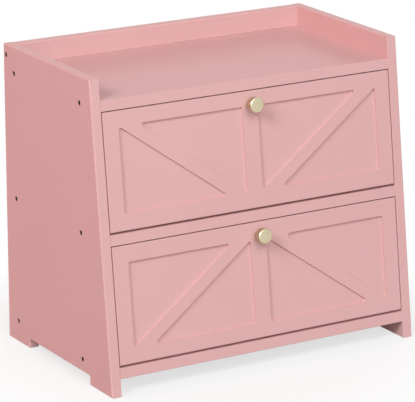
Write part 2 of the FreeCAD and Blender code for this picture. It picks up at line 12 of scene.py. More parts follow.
import bmesh
import bpy
from mathutils import Matrix, Vector


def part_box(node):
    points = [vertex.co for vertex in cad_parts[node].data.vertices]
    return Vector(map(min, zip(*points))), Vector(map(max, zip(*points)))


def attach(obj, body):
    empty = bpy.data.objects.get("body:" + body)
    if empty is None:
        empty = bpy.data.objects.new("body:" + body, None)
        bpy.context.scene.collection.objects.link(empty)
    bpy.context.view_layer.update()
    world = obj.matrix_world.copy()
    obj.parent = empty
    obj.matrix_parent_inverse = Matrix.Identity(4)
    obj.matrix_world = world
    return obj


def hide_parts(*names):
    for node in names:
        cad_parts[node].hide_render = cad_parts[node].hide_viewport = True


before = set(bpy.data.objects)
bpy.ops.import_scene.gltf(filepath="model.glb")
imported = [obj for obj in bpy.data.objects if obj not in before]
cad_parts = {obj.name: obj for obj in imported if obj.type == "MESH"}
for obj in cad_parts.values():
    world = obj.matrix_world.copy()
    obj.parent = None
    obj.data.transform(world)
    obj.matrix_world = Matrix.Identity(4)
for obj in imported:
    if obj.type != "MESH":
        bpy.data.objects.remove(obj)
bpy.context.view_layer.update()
MM = 0.001

# %% [markdown]
# ## The camera
#
# The picture was taken from the left and a little above, from far away with a long lens, so that the
# box's edges stay almost parallel.  The place, aim and focal length below were worked out from the
# straight edges of the box.  A long lens is the honest choice: a closer camera with a wide lens would
# show the same sides, but would splay the panels.

# %% Place the camera
PHOTO_WIDTH = 415
FOCAL_PIXELS = 2831.4
SENSOR_MM = 36.0

eye = Vector((-1.6178, -2.6635, 1.0919))
aim = Vector((0.00336, 0.0125, 0.1603))
lens = bpy.data.cameras.new("camera")
lens.sensor_width = SENSOR_MM
lens.lens = FOCAL_PIXELS / PHOTO_WIDTH * SENSOR_MM
camera = bpy.data.objects.new("camera", lens)
camera.location = eye
camera.rotation_euler = (aim - eye).to_track_quat("-Z", "Y").to_euler()
bpy.context.scene.collection.objects.link(camera)
bpy.context.scene.camera = camera
bpy.context.scene.view_settings.view_transform = "Standard"
print(f"lens {lens.lens:.1f} mm, {(aim - eye).length:.2f} m from the box")

# %% [markdown]
# ## A helper for nodes
#
# Finishes and growing shapes are both described with node trees.  Adding a node, setting what it needs
# and linking its sockets are the same three steps each time, so one helper does them: a value is
# stored on the socket, and a socket of another node is linked to it.

# %% The node helper
def add(tree, kind, inputs=None, **settings):
    """A new node; inputs maps a socket's name or number to a value or to another node's output."""
    made = tree.nodes.new(kind)
    for name, value in settings.items():
        setattr(made, name, value)
    for name, value in (inputs or {}).items():
        if isinstance(value, bpy.types.NodeSocket):
            tree.links.new(value, made.inputs[name])
        else:
            made.inputs[name].default_value = value
    return made


def maths(tree, operation, *values):
    """The output of a Math node fed with the given values or sockets."""
    return add(tree, "ShaderNodeMath", dict(enumerate(values)), operation=operation).outputs[0]


print("helpers: add, maths")

# %% [markdown]
# ## The floor and the white surroundings
#
# The box stands on a plain white sheet.  Close to the box the sheet is partly matt, so that it catches a
# faint soft shadow; further out it turns into even white, so that no edge of the sheet shows.  The even
# white is a light of strength one that only the camera and mirroring surfaces see, so that metal shows
# the white too.  It adds nothing to the light that falls on matt board.  For that light the sheet is grey:
# a strong glow from below would wash out the thin shadows that draw the pattern on the doors.  The matt
# part is a cool white, which looks plain under the rosy light.  Between the two distances of SHADOW_FADE,
# in metres from the middle of the box, matt gives way to even white.

# %% Make the floor
FLOOR_RADIUS = 6.0
FLOOR_SIDES = 64
FLOOR_DROP = 0.2 * MM
SHADOW_FADE = (0.20, 0.38)
SHADOW_SHARE = 0.32
FLOOR_COLOUR = (0.86, 0.97, 0.97, 1.0)
FLOOR_BOUNCE = (0.40, 0.40, 0.40, 1.0)
WHITE = (1.0, 1.0, 1.0, 1.0)


def seen_directly(tree):
    """One for rays from the camera and for mirrored or transmitted rays, and nought for all others."""
    kinds = add(tree, "ShaderNodeLightPath").outputs
    mirrored = maths(tree, "MAXIMUM", kinds["Is Camera Ray"], kinds["Is Glossy Ray"])
    return maths(tree, "MAXIMUM", mirrored, kinds["Is Transmission Ray"])


def floor_finish():
    """Partly matt near the box, and plain white further out."""
    finish = bpy.data.materials.new("floor_white")
    finish.use_nodes = True
    tree = finish.node_tree
    tree.nodes.clear()
    place = add(tree, "ShaderNodeTexCoord").outputs["Object"]
    away = add(tree, "ShaderNodeVectorMath", {0: place}, operation="LENGTH").outputs["Value"]
    limits = {"Value": away, "From Min": SHADOW_FADE[0], "From Max": SHADOW_FADE[1],
              "To Min": 1.0 - SHADOW_SHARE}
    fade = add(tree, "ShaderNodeMapRange", limits, interpolation_type="SMOOTHSTEP").outputs["Result"]
    seen = seen_directly(tree)
    plain = maths(tree, "MULTIPLY", fade, seen)
    lit = add(tree, "ShaderNodeBsdfDiffuse", {"Color": FLOOR_COLOUR}).outputs[0]
    dim = add(tree, "ShaderNodeBsdfDiffuse", {"Color": FLOOR_BOUNCE}).outputs[0]
    matt = add(tree, "ShaderNodeMixShader", {0: seen, 1: dim, 2: lit}).outputs[0]
    even = add(tree, "ShaderNodeEmission", {"Color": WHITE, "Strength": 1.0}).outputs[0]
    both = add(tree, "ShaderNodeMixShader", {0: plain, 1: matt, 2: even}).outputs[0]
    add(tree, "ShaderNodeOutputMaterial", {"Surface": both})
    return finish


floor_mesh = bpy.data.meshes.new("floor")
shape = bmesh.new()
bmesh.ops.create_circle(shape, cap_ends=True, segments=FLOOR_SIDES, radius=FLOOR_RADIUS)
bmesh.ops.translate(shape, verts=shape.verts, vec=(0, 0, -FLOOR_DROP))
shape.to_mesh(floor_mesh)
shape.free()
floor_mesh.materials.append(floor_finish())
floor = bpy.data.objects.new("floor", floor_mesh)
bpy.context.scene.collection.objects.link(floor)
print("floor radius", FLOOR_RADIUS, "m")

# %% [markdown]
# ## The light
#
# Large soft lights suit lacquer: they leave no hard shadow and no bright spot.  A tall, wide one in front
# gives the doors and the tray their even, pale tone, and stands high enough to draw the thin dark lines
# under the upper edges of the sunk triangles.  A smaller one to the left lights the side, draws the left
# edges and throws the short shadows to the right of the knobs.  Both are far away, so that no end of the
# box is much nearer to them than the other.  A warm one behind the left side keeps it rosier than the
# doors.  Behind the box a broad one is for its back and right side; that one and the warm one are kept out
# of reflections, or they would stand mirrored in the glossy tray.  The surroundings give the rest, evenly
# from all sides and rosy, as in a room with warm walls.

# %% Hang the lights
SURROUND_STRENGTH = 0.28
SURROUND_COLOUR = (1.0, 0.52, 0.52, 1.0)
BOX_MIDDLE = Vector((0.0, 0.0, 0.18))
PLAIN = (1.0, 1.0, 1.0)
WARM = (1.0, 0.12, 0.08)


def soft_light(name, right, up, away, width, height, watts, colour):
    """A rectangular light that faces the box from so many degrees to the right and up, and metres away."""
    across, rise = math.radians(right), math.radians(up)
    level = away * math.cos(rise)
    offset = Vector((level * math.sin(across), -level * math.cos(across), away * math.sin(rise)))
    place = BOX_MIDDLE + offset
    lamp = bpy.data.lights.new(name, "AREA")
    lamp.shape = "RECTANGLE"
    lamp.size = width
    lamp.size_y = height
    lamp.energy = watts
    lamp.color = colour
    holder = bpy.data.objects.new(name, lamp)
    holder.location = place
    holder.rotation_euler = (BOX_MIDDLE - place).to_track_quat("-Z", "Y").to_euler()
    bpy.context.scene.collection.objects.link(holder)
    print(f"{name}: {watts} W over {width} by {height} m")


def surroundings():
    """Even light from all sides, plain white where it is seen directly."""
    world = bpy.data.worlds.new("surroundings")
    bpy.context.scene.world = world
    world.use_nodes = True
    tree = world.node_tree
    tree.nodes.clear()
    glow = {"Color": SURROUND_COLOUR, "Strength": SURROUND_STRENGTH}
    rosy = add(tree, "ShaderNodeBackground", glow).outputs[0]
    even = add(tree, "ShaderNodeBackground", {"Color": WHITE, "Strength": 1.0}).outputs[0]
    both = add(tree, "ShaderNodeMixShader", {0: seen_directly(tree), 1: rosy, 2: even}).outputs[0]
    add(tree, "ShaderNodeOutputWorld", {"Surface": both})


surroundings()
soft_light("left_light", right=-62, up=33, away=6.0, width=1.8, height=1.8, watts=168.0, colour=PLAIN)
soft_light("front_light", right=-12, up=31, away=6.6, width=4.0, height=6.0, watts=287.0, colour=PLAIN)
soft_light("warm_light", right=-112, up=22, away=3.0, width=1.5, height=1.5, watts=13.0, colour=WARM)
soft_light("back_light", right=132, up=14, away=3.2, width=2.4, height=1.8, watts=36.0, colour=PLAIN)
for name in ("warm_light", "back_light"):
    bpy.data.objects[name].visible_glossy = False

# %% [markdown]
# ## Pink lacquer
#
# The board is sprayed with a satin-gloss lacquer.  Up close such a coat is never flat: it has a fine
# ripple, called orange peel, a slightly uneven sheen, and a tone that drifts a little over a panel.
# All three are noise at different scales, read from Object coordinates so that the pattern stays fixed
# to the board.  The coat mirrors only a little, because all that it could mirror here is white, and would
# veil the pink.

# %% The lacquer
LACQUER_LIGHT = (0.706, 0.462, 0.454, 1.0)
LACQUER_DEEP = (0.691, 0.447, 0.438, 1.0)
LACQUER_ROUGHNESS = (0.20, 0.27)
LACQUER_MIRRORING = 0.04
DRIFT_PER_METRE = 7.0
SHEEN_PER_METRE = 45.0
PEEL_PER_METRE = 520.0
PEEL_DEPTH = 0.012 * MM
PEEL_STRENGTH = 0.6
NOISE_RANGE = (0.3, 0.7)


def new_finish(name):
    """An empty material with its shader, and the Object coordinates that its patterns use."""
    finish = bpy.data.materials.new(name)
    finish.use_nodes = True
    tree = finish.node_tree
    tree.nodes.clear()
    shader = add(tree, "ShaderNodeBsdfPrincipled")
    add(tree, "ShaderNodeOutputMaterial", {"Surface": shader.outputs[0]})
    place = add(tree, "ShaderNodeTexCoord").outputs["Object"]
    return finish, tree, shader, place


def noise(tree, place, per_metre, detail=2.0):
    """Smooth noise with about that many waves to the metre."""
    sizes = {"Vector": place, "Scale": per_metre, "Detail": detail}
    return add(tree, "ShaderNodeTexNoise", sizes).outputs["Fac"]


def spread(tree, value, low, high):
    """Noise stretched from the range that it mostly fills to low and high."""
    limits = {"Value": value, "From Min": NOISE_RANGE[0], "From Max": NOISE_RANGE[1],
              "To Min": low, "To Max": high}
    return add(tree, "ShaderNodeMapRange", limits).outputs["Result"]


def tint(tree, value, first, second):
    """A colour between two, led by noise."""
    mixed = {"Factor": spread(tree, value, 0.0, 1.0), "A": first, "B": second}
    node = add(tree, "ShaderNodeMix", data_type="RGBA")
    for name, given in mixed.items():
        socket = next(s for s in node.inputs if s.enabled and s.name == name)
        if isinstance(given, bpy.types.NodeSocket):
            tree.links.new(given, socket)
        else:
            socket.default_value = given
    return next(s for s in node.outputs if s.enabled)


def ripple(tree, height, depth, strength):
    """A bump of the given depth in metres."""
    bump = {"Height": height, "Distance": depth, "Strength": strength}
    return add(tree, "ShaderNodeBump", bump).outputs[0]


def coat(tree, shader, colour, roughness, normal):
    """Links the three patterns of a finish to its shader."""
    for name, pattern in (("Base Color", colour), ("Roughness", roughness), ("Normal", normal)):
        tree.links.new(pattern, shader.inputs[name])


def lacquer():
    """Satin-gloss pink lacquer on board."""
    finish, tree, shader, place = new_finish("pink_lacquer")
    colour = tint(tree, noise(tree, place, DRIFT_PER_METRE), LACQUER_DEEP, LACQUER_LIGHT)
    sheen = spread(tree, noise(tree, place, SHEEN_PER_METRE), *LACQUER_ROUGHNESS)
    peel = noise(tree, place, PEEL_PER_METRE, detail=1.0)
    coat(tree, shader, colour, sheen, ripple(tree, peel, PEEL_DEPTH, PEEL_STRENGTH))
    shader.inputs["Specular IOR Level"].default_value = LACQUER_MIRRORING
    return finish


finishes = {"painted_board": lacquer()}
print("finish:", finishes["painted_board"].name)

# %% [markdown]
# ## Metals
#
# The knobs are turned from metal with a pale gold skin: fine rings from the lathe catch the light, and
# run round the knob, so they follow an attribute that the knob's own mesh carries.  The door pins, the
# plates of the catches and the screws behind the doors are zinc-plated, faintly mottled; the screws in the
# sides are blackened, and the warm brown in their colour is painted rosy light bounced into their holes.

# %% The metal finishes
KNOB_GOLD = (0.620, 0.552, 0.382, 1.0)
KNOB_GOLD_DEEP = (0.575, 0.508, 0.336, 1.0)
KNOB_ROUGHNESS = (0.33, 0.41)
KNOB_TONE_PER_METRE = 160.0
KNOB_SHEEN_PER_METRE = 300.0
RINGS_PER_METRE = 3200.0
RING_DEPTH = 0.004 * MM
RING_STRENGTH = 0.5
WANDER_PER_METRE = 900.0
WANDER_RADIANS = 2.0
ZINC = ((0.55, 0.56, 0.58, 1.0), (0.68, 0.69, 0.70, 1.0))
# Near-black steel whose warm brown tint is a painted reflection of the pink lacquer round the screw holes.
BLACKENED_WITH_PAINTED_BOUNCE = ((0.024, 0.012, 0.010, 1.0), (0.042, 0.023, 0.019, 1.0))
MOTTLE_DEPTH = 0.01 * MM
MOTTLE_STRENGTH = 0.4
SHEEN_TO_MOTTLE = 2.3


def turned_gold():
    """Pale gold metal with the rings of the lathe."""
    finish, tree, shader, place = new_finish("turned_pale_gold")
    along = add(tree, "ShaderNodeAttribute", attribute_name="turning").outputs["Fac"]
    wander = maths(tree, "MULTIPLY", noise(tree, place, WANDER_PER_METRE), WANDER_RADIANS)
    angle = maths(tree, "ADD", maths(tree, "MULTIPLY", along, 2 * math.pi * RINGS_PER_METRE), wander)
    rings = maths(tree, "SINE", angle)
    colour = tint(tree, noise(tree, place, KNOB_TONE_PER_METRE), KNOB_GOLD_DEEP, KNOB_GOLD)
    sheen = spread(tree, noise(tree, place, KNOB_SHEEN_PER_METRE), *KNOB_ROUGHNESS)
    coat(tree, shader, colour, sheen, ripple(tree, rings, RING_DEPTH, RING_STRENGTH))
    shader.inputs["Metallic"].default_value = 1.0
    return finish


def plain_metal(name, tones, mottle, roughness):
    """A plated metal whose tone and sheen drift at the mottle's scale."""
    finish, tree, shader, place = new_finish(name)
    cells = noise(tree, place, mottle, detail=4.0)
    sheen = spread(tree, noise(tree, place, SHEEN_TO_MOTTLE * mottle), *roughness)
    coat(tree, shader, tint(tree, cells, *tones), sheen, ripple(tree, cells, MOTTLE_DEPTH, MOTTLE_STRENGTH))
    shader.inputs["Metallic"].default_value = 1.0
    return finish


finishes["knob_metal"] = turned_gold()
finishes["bright_steel"] = plain_metal("zinc_plate", ZINC, mottle=700.0, roughness=(0.25, 0.38))
# The side screws: blackened steel with painted rosy bounce light in its tint.
finishes["dark_steel"] = plain_metal("blackened_steel", BLACKENED_WITH_PAINTED_BOUNCE, mottle=900.0, roughness=(0.35, 0.50))
print("finishes:", sorted(finishes))

# %% [markdown]
# ## Plastics and the magnet
#
# The bushes that the door pins turn in are natural nylon, slightly waxy.  The catch housings are moulded
# in a tougher white plastic with the fine grain of a spark-eroded mould, and the magnets are dull dark
# ferrite.  Each is a tone that drifts a little, with its own grain as bump.

# %% The plastic and ferrite finishes
NYLON = ((0.78, 0.76, 0.70, 1.0), (0.83, 0.81, 0.76, 1.0))
CATCH_WHITE = ((0.74, 0.73, 0.72, 1.0), (0.79, 0.78, 0.77, 1.0))
FERRITE = ((0.045, 0.045, 0.050, 1.0), (0.070, 0.070, 0.075, 1.0))
MOULD_TONE_PER_METRE = 60.0
SHEEN_TO_GRAIN = 0.4
GRAIN_STRENGTH = 0.5


def moulded(name, tones, grain, depth, roughness):
    """A moulded or sintered material with a fine surface grain."""
    finish, tree, shader, place = new_finish(name)
    colour = tint(tree, noise(tree, place, MOULD_TONE_PER_METRE), *tones)
    sheen = spread(tree, noise(tree, place, SHEEN_TO_GRAIN * grain), *roughness)
    grains = noise(tree, place, grain, detail=3.0)
    coat(tree, shader, colour, sheen, ripple(tree, grains, depth, GRAIN_STRENGTH))
    return finish


finishes["nylon"] = moulded("natural_nylon", NYLON, grain=1500.0, depth=0.01 * MM, roughness=(0.40, 0.50))
finishes["catch_plastic"] = moulded("catch_plastic", CATCH_WHITE, grain=2200.0, depth=0.02 * MM,
                                    roughness=(0.42, 0.52))
finishes["magnet"] = moulded("ferrite", FERRITE, grain=2600.0, depth=0.02 * MM, roughness=(0.55, 0.70))

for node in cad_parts.values():
    for slot in node.material_slots:
        slot.material = finishes[slot.material.name.split(".")[0]]
print("finishes on", len(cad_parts), "pieces of the solid model")

# %% [markdown]
# ## A blank for the doors
#
# A door is one board that leans back with the front of the box.  It is drawn lying flat, in a frame of
# its own: x across, y up its slope from the lower edge, z out of its face.  A cube stretched to size and
# rounded by a Bevel modifier is enough for the blank, because the modifier can take a different radius
# for each edge: the lower front edge is the roundest, so that it clears the board below as the door swings.

# %% Draw the door blank
FRONT_SETBACK = 45.0 * MM
DOOR_THICKNESS = 12.0 * MM
DOOR_TOP_GAP = 0.9 * MM
DOOR_BOTTOM_GAP = 2.5 * MM
DOOR_FOOT_RADIUS = 1.5 * MM
DOOR_EDGE_RADIUS = 0.6 * MM
DOOR_BACK_RADIUS = 0.3 * MM
EDGE_STEPS = 4
TINY = 0.01 * MM

side_low, side_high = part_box("left_side_panel")
lean = math.atan2(FRONT_SETBACK, side_high.z)
boards = {"upper": ("middle_shelf", "top_board"), "lower": ("bottom_board", "middle_shelf")}


def sill_height(layer):
    """The height of the lower edge of a layer's door."""
    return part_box(boards[layer][0])[1].z + DOOR_BOTTOM_GAP


def door_height(layer):
    """The length of a layer's door up its slope."""
    return (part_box(boards[layer][1])[0].z - DOOR_TOP_GAP - sill_height(layer)) / math.cos(lean)


def door_frame(layer):
    """The matrix that takes a shape from a door's own frame to its place in the box."""
    sill = sill_height(layer)
    across = Vector((1.0, 0.0, 0.0))
    upwards = Vector((0.0, math.sin(lean), math.cos(lean)))
    outwards = across.cross(upwards)
    turn = Matrix((across, upwards, outwards)).transposed().to_4x4()
    return Matrix.Translation((0.0, side_low.y + FRONT_SETBACK * sill / side_high.z, sill)) @ turn


def edge_radius(edge):
    """How round an edge of the blank is."""
    middle = (edge.verts[0].co + edge.verts[1].co) / 2
    if middle.z < -TINY:
        return DOOR_BACK_RADIUS
    return DOOR_FOOT_RADIUS if middle.y < TINY else DOOR_EDGE_RADIUS


def door_blank(width, height):
    """A board with rounded edges, in the door's own frame."""
    shape = bmesh.new()
    bmesh.ops.create_cube(shape, size=1.0)
    bmesh.ops.translate(shape, verts=shape.verts, vec=(0.0, 0.5, -0.5))
    bmesh.ops.scale(shape, verts=shape.verts, vec=(width, height, DOOR_THICKNESS))
    weight = shape.edges.layers.float.new("bevel_weight_edge")
    for edge in shape.edges:
        edge[weight] = edge_radius(edge) / DOOR_FOOT_RADIUS
    mesh = bpy.data.meshes.new("door_blank")
    shape.to_mesh(mesh)
    shape.free()
    blank = bpy.data.objects.new("door_blank", mesh)
    bpy.context.scene.collection.objects.link(blank)
    rounding = blank.modifiers.new("rounding", "BEVEL")
    rounding.limit_method = "WEIGHT"
    rounding.width = DOOR_FOOT_RADIUS
    rounding.segments = EDGE_STEPS
    return blank


door_low, door_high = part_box("upper_door_panel")
door_width = door_high.x - door_low.x
print(f"doors {door_width / MM:.1f} mm wide, {door_height('upper') / MM:.1f} mm up the slope")

# %% [markdown]
# ## Helpers for Geometry Nodes
#
# A Geometry Nodes tree is a recipe with named inputs.  The sizes go in through the modifier, each by the
# identifier of its socket, before the object is looked at for the first time.  When the recipe has run,
# the result is copied into a plain mesh and the helper object is thrown away.

# %% Geometry Nodes helpers
def new_tree(name, sizes):
    """An empty tree with geometry in and out, a number input for each size, and a material input."""
    tree = bpy.data.node_groups.new(name, "GeometryNodeTree")
    tree.is_modifier = True
    tree.interface.new_socket("Geometry", in_out="INPUT", socket_type="NodeSocketGeometry")
    for size in sizes:
        tree.interface.new_socket(size, in_out="INPUT", socket_type="NodeSocketFloat")
    tree.interface.new_socket("Material", in_out="INPUT", socket_type="NodeSocketMaterial")
    tree.interface.new_socket("Geometry", in_out="OUTPUT", socket_type="NodeSocketGeometry")
    return tree, tree.nodes.new("NodeGroupInput").outputs


def finish_tree(tree, given, geometry):
    """The end that every tree has: real geometry instead of instances, and its material."""
    real = add(tree, "GeometryNodeRealizeInstances", {"Geometry": geometry}).outputs[0]
    dressed = add(tree, "GeometryNodeSetMaterial", {"Geometry": real, "Material": given["Material"]})
    add(tree, "NodeGroupOutput", {"Geometry": dressed.outputs[0]})


def run_tree(holder, tree, values):
    """A modifier that runs the tree on an object."""
    step = holder.modifiers.new(tree.name, "NODES")
    step.node_group = tree
    for item in tree.interface.items_tree:
        if item.in_out == "INPUT" and item.name in values:
            step[item.identifier] = values[item.name]


def plain_mesh(holder, name):
    """What an object's modifiers make of it, as a mesh of its own.  The object is removed."""
    graph = bpy.context.evaluated_depsgraph_get()
    mesh = bpy.data.meshes.new_from_object(holder.evaluated_get(graph))
    mesh.name = name
    bpy.data.objects.remove(holder)
    return mesh


def vector(tree, x=0.0, y=0.0, z=0.0):
    """A vector of three numbers or sockets."""
    return add(tree, "ShaderNodeCombineXYZ", {"X": x, "Y": y, "Z": z}).outputs[0]


def join(tree, *parts):
    """Several pieces of geometry as one."""
    node = add(tree, "GeometryNodeJoinGeometry")
    for part in parts:
        tree.links.new(part, node.inputs[0])
    return node.outputs[0]


def moved(tree, geometry, **change):
    """Geometry with a Translation, Rotation or Scale."""
    return add(tree, "GeometryNodeTransform", {"Geometry": geometry, **change}).outputs[0]


def welded(tree, geometry):
    """A mesh whose points that lie on each other are one."""
    return add(tree, "GeometryNodeMergeByDistance", {"Geometry": geometry, "Distance": TINY}).outputs[0]


def polyline(tree, points, closed):
    """A line through points that are given as sockets."""
    ring = add(tree, "GeometryNodeCurvePrimitiveCircle", {"Resolution": len(points)}).outputs[0]
    chosen = add(tree, "GeometryNodeIndexSwitch", data_type="VECTOR")
    while len(chosen.index_switch_items) < len(points):
        chosen.index_switch_items.new()
    tree.links.new(add(tree, "GeometryNodeInputIndex").outputs[0], chosen.inputs["Index"])
    for number, point in enumerate(points):
        tree.links.new(point, chosen.inputs[str(number)])
    places = {"Geometry": ring, "Position": chosen.outputs[0]}
    line = add(tree, "GeometryNodeSetPosition", places).outputs[0]
    return add(tree, "GeometryNodeSetSplineCyclic", {"Geometry": line, "Cyclic": closed}).outputs[0]


def at_corner(tree, number):
    """One at the point of a line that has this number, and nought at the others."""
    index = add(tree, "GeometryNodeInputIndex").outputs[0]
    return maths(tree, "COMPARE", index, float(number), 0.5)


def rounded(tree, line, radius, steps):
    """A line with its corners rounded to arcs of a few steps."""
    sizes = {"Curve": line, "Radius": radius, "Count": steps}
    return add(tree, "GeometryNodeFilletCurve", sizes, mode="POLY").outputs[0]


print("helpers for trees:", new_tree.__name__, run_tree.__name__, plain_mesh.__name__)

# %% [markdown]
# ## The sunk triangles
#
# Each half of a door's face has a brace across it, and what is left on either side of the brace is a
# triangle, cut a few millimetres deep.  On the real board a router cutter runs round each triangle, and
# the tree does the same: it works out the three corners, rounds them, and sweeps the cutter's outline,
# with its softened lip and foot, along them.  Then it fills the floors and the face again.  A Boolean
# would also cut the triangles, but it leaves sharp, uneven edges.
#
# The outline has four corners, counted from the floor: its inner end, the foot, the lip and its outer end.
# Both ends reach a little further than the arcs at foot and lip.

# %% The tree for the sunk triangles
RELIEF_SIZES = ("Width", "Height", "Stile", "Middle stile", "Meeting rail", "Parting rail", "Brace",
                "Depth", "Corner radius", "Lip radius", "Cove radius", "Turn")
CORNER_STEPS = 8
LIP_STEPS = 6
PAST_ARC = 1.2
FOOT_CORNER = 1
FACING = 0.999


def triangle_outline(tree, given, wide, tall):
    """One triangle, about the middle of the half of the face that it lies in."""
    squares = maths(tree, "MULTIPLY_ADD", wide, wide, maths(tree, "MULTIPLY", tall, tall))
    diagonal = maths(tree, "SQRT", squares)
    steeper = maths(tree, "ARCSINE", maths(tree, "DIVIDE", given["Brace"], diagonal))
    slope = maths(tree, "ADD", maths(tree, "ARCTAN2", tall, wide), steeper)
    foot = maths(tree, "DIVIDE", tall, maths(tree, "TANGENT", slope))
    left = maths(tree, "MULTIPLY", wide, -0.5)
    high = maths(tree, "MULTIPLY", tall, 0.5)
    low = maths(tree, "MULTIPLY", tall, -0.5)
    tip = maths(tree, "ADD", left, foot)
    corners = [vector(tree, left, high), vector(tree, left, low), vector(tree, tip, low)]
    return rounded(tree, polyline(tree, corners, True), given["Corner radius"], CORNER_STEPS)


def all_outlines(tree, given):
    """The outlines of a door's four triangles, all running the same way round."""
    half = maths(tree, "MULTIPLY", given["Width"], 0.5)
    middle = maths(tree, "MULTIPLY", given["Middle stile"], 0.5)
    wide = maths(tree, "SUBTRACT", maths(tree, "SUBTRACT", half, given["Stile"]), middle)
    rails = maths(tree, "ADD", given["Meeting rail"], given["Parting rail"])
    tall = maths(tree, "SUBTRACT", given["Height"], rails)
    one = triangle_outline(tree, given, wide, tall)
    pair = join(tree, one, moved(tree, one, Rotation=(0.0, 0.0, math.pi)))
    across = maths(tree, "MULTIPLY_ADD", wide, -0.5, maths(tree, "MULTIPLY", middle, -1.0))
    uneven = maths(tree, "SUBTRACT", given["Meeting rail"], given["Parting rail"])
    rise = maths(tree, "MULTIPLY", uneven, 0.5)
    left = moved(tree, pair, Translation=vector(tree, across, rise))
    mirrored = moved(tree, left, Scale=(-1.0, 1.0, 1.0))
    right = add(tree, "GeometryNodeReverseCurve", {"Curve": mirrored}).outputs[0]
    centre = vector(tree, 0.0, maths(tree, "MULTIPLY", given["Height"], 0.5))
    turned = moved(tree, join(tree, left, right), Rotation=vector(tree, 0.0, 0.0, given["Turn"]))
    placed = moved(tree, turned, Translation=centre)
    return add(tree, "GeometryNodeSetCurveNormal", {"Curve": placed}, mode="Z_UP").outputs[0]


def widened(tree, outlines, distance):
    """Outlines moved outwards by a distance."""
    outwards = add(tree, "GeometryNodeInputNormal").outputs[0]
    step = {0: outwards, "Scale": distance}
    offset = add(tree, "ShaderNodeVectorMath", step, operation="SCALE").outputs[0]
    return add(tree, "GeometryNodeSetPosition", {"Geometry": outlines, "Offset": offset}).outputs[0]


def filled(tree, outlines):
    """A flat face inside closed outlines."""
    return add(tree, "GeometryNodeFillCurve", {"Curve": outlines}, mode="NGONS").outputs[0]


def relief_tree():
    """The tree that takes a door blank and sinks the four triangles into its face."""
    tree, given = new_tree("sunk_triangles", RELIEF_SIZES)
    lip, cove, depth = given["Lip radius"], given["Cove radius"], given["Depth"]
    outwards = maths(tree, "MULTIPLY", lip, PAST_ARC)
    inwards = maths(tree, "MULTIPLY", cove, -PAST_ARC)
    outlines = all_outlines(tree, given)
    corners = [vector(tree, inwards, depth), vector(tree, 0.0, depth), vector(tree), vector(tree, outwards)]
    at_foot = at_corner(tree, FOOT_CORNER)
    radius = maths(tree, "MULTIPLY_ADD", at_foot, maths(tree, "SUBTRACT", cove, lip), lip)
    cutter = rounded(tree, polyline(tree, corners, False), radius, LIP_STEPS)
    walls = add(tree, "GeometryNodeCurveToMesh", {"Curve": outlines, "Profile Curve": cutter}).outputs[0]
    down = vector(tree, 0.0, 0.0, maths(tree, "MULTIPLY", depth, -1.0))
    floors = moved(tree, filled(tree, widened(tree, outlines, inwards)), Translation=down)
    facing = add(tree, "ShaderNodeSeparateXYZ", {0: add(tree, "GeometryNodeInputNormal").outputs[0]})
    front = maths(tree, "GREATER_THAN", facing.outputs["Z"], FACING)
    parted = add(tree, "GeometryNodeSeparateGeometry",
                 {"Geometry": given["Geometry"], "Selection": front}, domain="FACE")
    border = add(tree, "GeometryNodeMeshToCurve", {"Mesh": parted.outputs["Selection"]}).outputs[0]
    face = filled(tree, join(tree, border, widened(tree, outlines, outwards)))
    whole = welded(tree, join(tree, parted.outputs["Inverted"], walls, floors, face))
    smooth = add(tree, "GeometryNodeSetShadeSmooth", {"Geometry": whole}).outputs[0]
    finish_tree(tree, given, smooth)
    return tree


sunk_triangles = relief_tree()
print("tree", sunk_triangles.name, "has", len(sunk_triangles.nodes), "nodes")

# %% [markdown]
# ## The two doors
#
# Both doors are the same board.  On the upper one the braces run down towards the middle; the lower one
# is turned over, so that its braces run up.  Broad flat faces beside narrow round edges shade badly with
# averaged normals, so a Weighted Normal modifier lets the large faces decide.  Every finished piece also
# prints what a sound mesh has: no open or twisted edges, and a volume above nought, so that its faces look
# outwards.

# %% Make and hang the doors
RELIEF = {"Stile": 19.0 * MM, "Middle stile": 20.0 * MM, "Meeting rail": 19.0 * MM,
          "Parting rail": 17.0 * MM, "Brace": 14.0 * MM, "Depth": 3.0 * MM,
          "Corner radius": 2.5 * MM, "Lip radius": 0.3 * MM, "Cove radius": 0.3 * MM}
TURNS = {"upper": 0.0, "lower": math.pi}
LARGE_FACES_FIRST = 100
CUBIC_CM = 1e-6


def finished_piece(mesh, body, slot, *nodes):
    """A mesh as a piece that moves with a body and stands for some nodes of the solid model."""
    shape = bmesh.new()
    shape.from_mesh(mesh)
    faults = sum(1 for edge in shape.edges if not edge.is_contiguous)
    volume = shape.calc_volume(signed=True) / CUBIC_CM
    shape.free()
    piece = bpy.data.objects.new(mesh.name, mesh)
    bpy.context.scene.collection.objects.link(piece)
    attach(piece, body)
    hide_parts(*nodes)
    print(f"{piece.name} on {body}: {len(mesh.polygons)} faces,",
          f"{faults} open or twisted edges, {volume:.2f} cm3")


for layer, turn in TURNS.items():
    height = door_height(layer)
    blank = door_blank(door_width, height)
    sizes = {"Width": door_width, "Height": height, "Turn": turn, "Material": finishes["painted_board"]}
    run_tree(blank, sunk_triangles, {**RELIEF, **sizes})
    blank.modifiers.new("flat faces first", "WEIGHTED_NORMAL").weight = LARGE_FACES_FIRST
    door = plain_mesh(blank, f"{layer}_braced_door")
    door.transform(door_frame(layer))
    finished_piece(door, f"{layer}_door", "painted_board", f"{layer}_door_panel")

# %% [markdown]
# ## The knobs
#
# Each knob is turned from bar: a short neck, a thick round head and small chamfers on both of its rims.
# A lathe is easy to copy in code: half of the section is drawn once, its corners are softened a little,
# and it is spun round the axis.  The way travelled along the section is kept on every point as an
# attribute, so that the finish can lay its fine rings where the tool would have left them.

